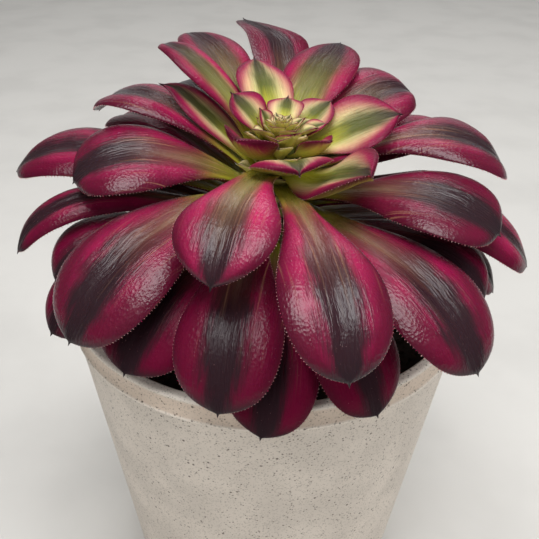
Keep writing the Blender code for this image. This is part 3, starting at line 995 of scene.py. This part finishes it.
def scar_tree(look, material):
    """Flat lens-shaped scars, in a spiral up the stem."""
    sizes = {"Turn": float(look.scar_turn), "Width": float(look.scar_width)}
    tree = Builder("scars", Count=int(look.scars), **sizes, Seed=3)
    dots = tree.dots_along("COUNT", "Count")
    turn = tree.node("GeometryNodeInputIndex") * tree.input("Turn")
    way = tree.vector(turn.cosine(), turn.sine(), 0.0)
    offset = tree.scaled(way, tree.stored("radius_here"))
    moved = tree.node("GeometryNodeSetPosition", {}, {"Geometry": dots, "Offset": offset})
    disc = tree.node("GeometryNodeMeshUVSphere", {}, {"Segments": 12, "Rings": 6, "Radius": 0.5})
    flat = tree.node("GeometryNodeTransform", {}, {"Geometry": disc, "Scale": (0.42, 1.0, 0.22)})
    size = tree.input("Width") * tree.chance(0.8, 1.15, tree.input("Seed"))
    tree.finish(tree.copies(moved, flat, tree.facing(way), size), material)
    return tree


# ---- potting mix and pot


MIX_SIDES, POT_SIDES = 150, 200
LUMP = 6 * MM  # width of the mix's lumps


def turned_object(name, outline_points, sides, material):
    """A closed outline of (radius, height) points, turned about Z. A radius of 0 is a pole."""
    shape = bmesh.new()
    rings = []
    for radius, height in outline_points:
        if radius == 0:
            rings.append([shape.verts.new((0, 0, height))])
            continue
        turns = [2 * math.pi * i / sides for i in range(sides)]
        rings.append([shape.verts.new((radius * math.cos(a), radius * math.sin(a), height)) for a in turns])
    for lower, upper in zip(rings, rings[1:] + rings[:1]):
        for i in range(sides):
            j = (i + 1) % sides
            if len(lower) == len(upper) == 1:
                break
            if len(lower) == 1:
                shape.faces.new((lower[0], upper[j], upper[i]))
            elif len(upper) == 1:
                shape.faces.new((lower[i], lower[j], upper[0]))
            else:
                shape.faces.new((lower[i], lower[j], upper[j], upper[i]))
    bmesh.ops.recalc_face_normals(shape, faces=shape.faces)
    mesh = bpy.data.meshes.new(name)
    shape.to_mesh(mesh)
    shape.free()
    mesh.materials.append(material)
    mesh.shade_smooth()
    return show(name, mesh)


def mix_finish(look):
    made = Finish("potting_mix", IOR=1.35)
    place = made.place()
    grain = made.grain(place, 700.0, 4.0, 0.65)
    patch = made.grain(place, 160.0, 2.0)
    tint = made.mix(look.peat, look.bark, (patch * 0.5 + grain * 0.5).ease(0.52, 0.68))
    return made.surface(tint, 0.86 + grain * 0.1, made.bump(grain, 0.5 * MM, 0.8))


def make_mix(look):
    """The mix: the CAD's own turned shape with a lumpy top, and crumbs strewn over it."""
    material = mix_finish(look)
    points, radius = node_points("potting_mix")
    low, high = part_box("potting_mix")
    wall_top = points[radius > radius.max() - 0.2 * MM][:, 2].max()
    foot = radius[points[:, 2] < low.z + 0.2 * MM].max()
    wide, dome = radius.max(), high.z - wall_top
    tops = [(wide * s, wall_top + dome * (1 - s * s) - 0.9 * MM) for s in np.linspace(1.0, 0.03, 44)]
    outline_points = [(0, low.z), (foot, low.z), *tops, (0, tops[-1][1])]
    ground = turned_object("mix_ground", outline_points, MIX_SIDES, material)
    for v in ground.data.vertices:
        span = math.hypot(v.co.x, v.co.y)
        if v.co.z > wall_top - 2 * MM and span < wide - 1.2 * MM:
            place = Vector(v.co) / LUMP
            lumps = noise.noise(place) + 0.55 * noise.noise(place * 2.7) + 0.3 * noise.noise(place * 6.1)
            v.co.z += look.relief * (0.5 * lumps - 0.25)
    settle(crumb_tree(look, material, wall_top).run(ground, "mix"), "potting_mix", "potting_mix")


def crumb_tree(look, material, wall_top):
    """Lumpy crumbs, strewn over what faces upwards near the top of the mix."""
    tree = Builder("crumbs", Density=float(look.crumbs), Size=float(look.crumb_size), Seed=11)
    base = tree.input("Geometry")
    up = tree.node("GeometryNodeInputNormal").split()[2]
    above = tree.node("GeometryNodeInputPosition").split()[2]
    chosen = (up.ease(0.3, 0.5) * above.ease(wall_top - 3 * MM, wall_top - 2 * MM)).ease(0.4, 0.6)
    fed = {"Mesh": base, "Selection": chosen, "Density": tree.input("Density"), "Seed": tree.input("Seed")}
    dots = tree.node("GeometryNodeDistributePointsOnFaces", {}, fed)
    lump = tree.node("GeometryNodeMeshIcoSphere", {}, {"Radius": 1.0, "Subdivisions": 1})
    size = tree.input("Size") * tree.chance(0.35, 1.5, tree.input("Seed"))
    squash = tree.chance((0.5, 0.5, 0.3), (1.3, 1.0, 0.8), 5, "FLOAT_VECTOR")
    spin = tree.chance((-3.1, -3.1, -3.1), (3.1, 3.1, 3.1), 6, "FLOAT_VECTOR")
    strewn = tree.copies(dots, lump, spin, tree.scaled(squash, size))
    joined = tree.tree.nodes.new("GeometryNodeJoinGeometry")
    tree.feed(joined.inputs[0], base)
    tree.feed(joined.inputs[0], strewn)
    tree.finish(Value(tree, joined.outputs[0]), material)
    return tree


def pot_finish(look):
    """Off-white moulding with fine dark specks, a painted highlight on the lip and the bead, and a darker
    brown tint inside.
    """
    made = Finish("speckled_pot", IOR=1.45)
    place = made.place()
    x, y, z = place.split()
    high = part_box("pot")[1]
    band_foot = high.z - look.band
    cloud = made.grain(place, 60.0, 3.0)
    grain = made.grain(place, 1400.0, 3.0, 0.7)
    dust = made.cells(place, 1500.0)
    small = made.cells(place, 900.0)
    large = made.cells(place, 380.0)
    some = made.grain(place, 520.0, 1.0)
    few = made.grain(place, 210.0, 1.0)
    flecks = (1 - dust.ease(0.20, 0.45)) * grain.ease(0.40, 0.56) * 0.42
    specks = (1 - small.ease(0.14, 0.34)) * some.ease(0.47, 0.60) * 0.85
    blots = (1 - large.ease(0.10, 0.20)) * few.ease(0.50, 0.60) * 0.9
    on_band = z.ease(band_foot, band_foot + 0.9 * MM)
    on_band = on_band * (1 - z.ease(high.z - 2.2 * MM, high.z - 0.8 * MM))
    # Painted highlight: the bead and the lip are painted paler, where they catch the light
    bead = 1 - abs(z - band_foot - look.bead).ease(0.15 * MM, 0.75 * MM)
    shell = made.mix(look.shell, tuple(min(1.0, 1.15 * c) for c in look.shell), cloud.ease(0.35, 0.7))
    shell = made.mix(shell, look.band_tint, on_band * 0.8)
    lip = z.ease(high.z - 1.6 * MM, high.z - 0.5 * MM)
    shell = made.mix(shell, look.edge_highlight, (bead * 0.75).most(lip * 0.6))
    shell = made.mix(shell, look.speck, specks.most(blots).most(flecks))
    bore = high.x - look.step - look.wall
    span = (x * x + y * y) ** 0.5
    slope = bore - (high.z - z) * 0.14
    within = 1 - (span - slope).ease(0.3 * MM, 0.9 * MM)
    tint = made.mix(shell, look.inside, within * 0.8)
    height = grain * 0.6 + cloud - specks * 0.8 - blots
    return made.surface(tint, 0.50 + grain * 0.14, made.bump(height, 0.10 * MM, 0.6))


def arc(centre, radius, start, end, steps=6):
    """Points on an arc of the outline, between two angles in degrees."""
    angles = (math.radians(start + (end - start) * i / steps) for i in range(steps + 1))
    return [(centre[0] + radius * math.cos(a), centre[1] + radius * math.sin(a)) for a in angles]


def make_pot(look):
    """The pot: an outline fitted to the CAD's rim and foot, turned round its axis."""
    points, radius = node_points("pot")
    low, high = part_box("pot")
    rim = radius.max()
    soft, lip = 0.9 * MM, 1.0 * MM
    foot = radius[points[:, 2] < 0.2 * MM].max() + soft
    band_foot = high.z - look.band
    under_band = rim - look.step
    bore = under_band - look.wall
    hollow = 0.45 * MM  # how far the band lies back from the lip and the bead
    floor = 3.0 * MM
    inner_foot = foot + (under_band - foot) * floor / band_foot - look.wall
    outline_points = [
        (0, low.z),
        *arc((foot - soft, low.z + soft), soft, -90, 8),
        (under_band, band_foot - 0.5 * MM),
        *arc((rim - look.bead, band_foot + look.bead), look.bead, -110, 60, 7),
        (rim - hollow, band_foot + 1.1 * MM),
        (rim - hollow, high.z - 2.2 * MM),
        *arc((rim - lip, high.z - lip), lip, 0, 90, 7),
        *arc((bore + soft, high.z - soft), soft, 90, 180, 6),
        (inner_foot, floor),
        (0, floor),
    ]
    pot = turned_object("moulded_pot", outline_points, POT_SIDES, pot_finish(look))
    pot.data.set_sharp_from_angle(angle=math.radians(48))
    settle(pot, "speckled_pot", "pot")


# ---- stage

PITCH = math.radians(31.2)
ROLL = math.radians(1.1)
EYE = Vector((0.0007, -0.2015, 0.2418))
LENS_MM = 46.75
AIM = Vector((0, 0, 0.13))  # where the lamps point
FLOOR_HALF = 3.0
AIR_TINT = (1.0, 0.99, 0.975, 1.0)

# Each lamp's compass turn and rise in degrees, its distance and size in metres, and whether it is mirrored
LAMPS = {
    "top": (-102, 76, 1.15, 0.78, True),
    "back": (80, 50, 1.6, 0.60, True),
    "side": (-8, 38, 1.6, 1.3, False),
    "front": (-115, 28, 1.4, 1.0, False),
    "wall": (90, 14, 2.4, 2.6, True),
}


def make_camera():
    data = bpy.data.cameras.new("camera")
    data.lens = LENS_MM
    data.clip_start = 0.01
    camera = show("camera", data)
    ahead = Vector((0, math.cos(PITCH), -math.sin(PITCH)))
    up = Vector((0, math.sin(PITCH), math.cos(PITCH)))
    right = Vector((1, 0, 0))
    tilted_right = right * math.cos(ROLL) + up * math.sin(ROLL)
    tilted_up = up * math.cos(ROLL) - right * math.sin(ROLL)
    turn = Matrix((tilted_right, tilted_up, -ahead)).transposed()
    camera.matrix_world = Matrix.Translation(EYE) @ turn.to_4x4()
    bpy.context.scene.camera = camera


def softbox(name, turn, rise, distance, size, mirrored, watts):
    """A square lamp that faces the plant, seen from there at this compass turn and rise, in degrees."""
    turn, rise = math.radians(turn), math.radians(rise)
    way = Vector((math.cos(turn) * math.cos(rise), math.sin(turn) * math.cos(rise), math.sin(rise)))
    data = bpy.data.lights.new(name, "AREA")
    data.shape = "SQUARE"
    data.size = size
    data.energy = watts
    lamp = show(name, data)
    lamp.location = AIM + way * distance
    lamp.rotation_euler = (-way).to_track_quat("-Z", "Y").to_euler()
    lamp.visible_camera = False
    lamp.visible_glossy = mirrored


def make_stage(look):
    """The floor, the lamps, the even light and the camera."""
    made = Finish("floor", IOR=1.4)
    dust = made.grain(made.place(), 14.0, 4.0)
    tint = made.mix(look.floor, tuple(0.93 * c for c in look.floor), dust.ease(0.4, 0.7))
    material = made.surface(tint, 0.7 + dust * 0.1, made.bump(dust, 0.3 * MM, 0.3))
    corners = [(x * FLOOR_HALF, y * FLOOR_HALF, 0) for x, y in ((-1, -1), (1, -1), (1, 1), (-1, 1))]
    floor = mesh_object("floor", corners, [(0, 1, 2, 3)], material)
    world = bpy.data.worlds.new("studio")
    world.use_nodes = True
    background = world.node_tree.nodes["Background"]
    background.inputs["Color"].default_value = AIR_TINT
    background.inputs["Strength"].default_value = look.air
    bpy.context.scene.world = world
    for name, place in LAMPS.items():
        softbox(name, *place, getattr(look, name))
    make_camera()
    bpy.context.scene.view_settings.view_transform = "Standard"


# ---- operators


class AEONIUM_OT_leaves(bpy.types.Operator):
    """Make the leaves, with the teeth along their margins"""

    bl_idname = "aeonium.leaves"
    bl_label = "Leaves"

    def execute(self, context):
        look = settings().leaf
        tooth = tooth_finish(look)
        skins = {skin: leaf_finish(skin, look, gloss) for skin, gloss in GLOSS.items()}
        for tier in TIERS:
            margins = []
            for node in LEAVES:
                if node.startswith(tier):
                    margins += make_leaf(node, skins[skin_of(node)], look)
            lines = margin_object(margins, look.tooth_height)
            settle(teeth_tree(tier, look, tooth).run(lines, f"{tier}_teeth"), "leaf_" + tier)
        return {"FINISHED"}


class AEONIUM_OT_heart(bpy.types.Operator):
    """Make the heart of tiny leaves at the growing tip"""

    bl_idname = "aeonium.heart"
    bl_label = "Heart"

    def execute(self, context):
        look = settings().leaf
        material = leaf_finish("heart", look, GLOSS["young"])
        make_heart(look, material)
        make_scales(look, material)
        return {"FINISHED"}


class AEONIUM_OT_stem(bpy.types.Operator):
    """Make the stem and its leaf scars"""

    bl_idname = "aeonium.stem"
    bl_label = "Stem"

    def execute(self, context):
        make_stem(settings().stem)
        return {"FINISHED"}


class AEONIUM_OT_mix(bpy.types.Operator):
    """Make the potting mix"""

    bl_idname = "aeonium.mix"
    bl_label = "Potting mix"

    def execute(self, context):
        make_mix(settings().mix)
        return {"FINISHED"}


class AEONIUM_OT_pot(bpy.types.Operator):
    """Make the pot"""

    bl_idname = "aeonium.pot"
    bl_label = "Pot"

    def execute(self, context):
        make_pot(settings().pot)
        return {"FINISHED"}


class AEONIUM_OT_stage(bpy.types.Operator):
    """Make the floor, the light and the camera"""

    bl_idname = "aeonium.stage"
    bl_label = "Stage"

    def execute(self, context):
        make_stage(settings().stage)
        return {"FINISHED"}


OPERATORS = (
    AEONIUM_OT_leaves,
    AEONIUM_OT_heart,
    AEONIUM_OT_stem,
    AEONIUM_OT_mix,
    AEONIUM_OT_pot,
    AEONIUM_OT_stage,
)


class AEONIUM_PT_panel(bpy.types.Panel):
    """Lists the operators, in the sidebar of the 3D view"""

    bl_idname = "AEONIUM_PT_panel"
    bl_label = "Potted Aeonium"
    bl_space_type = "VIEW_3D"
    bl_region_type = "UI"
    bl_category = "Aeonium"

    def draw(self, context):
        for operator in OPERATORS:
            self.layout.operator(operator.bl_idname)


GROUPS = (LeafSettings, StemSettings, MixSettings, PotSettings, StageSettings, AeoniumSettings)


def register():
    for item in (*GROUPS, *OPERATORS, AEONIUM_PT_panel):
        bpy.utils.register_class(item)
    bpy.types.Scene.aeonium = bpy.props.PointerProperty(type=AeoniumSettings)


def unregister():
    del bpy.types.Scene.aeonium
    for item in reversed((*GROUPS, *OPERATORS, AEONIUM_PT_panel)):
        bpy.utils.unregister_class(item)


def main():
    register()
    for operator in OPERATORS:
        family, name = operator.bl_idname.split(".")
        getattr(getattr(bpy.ops, family), name)()


if __name__ == "__main__":
    main()
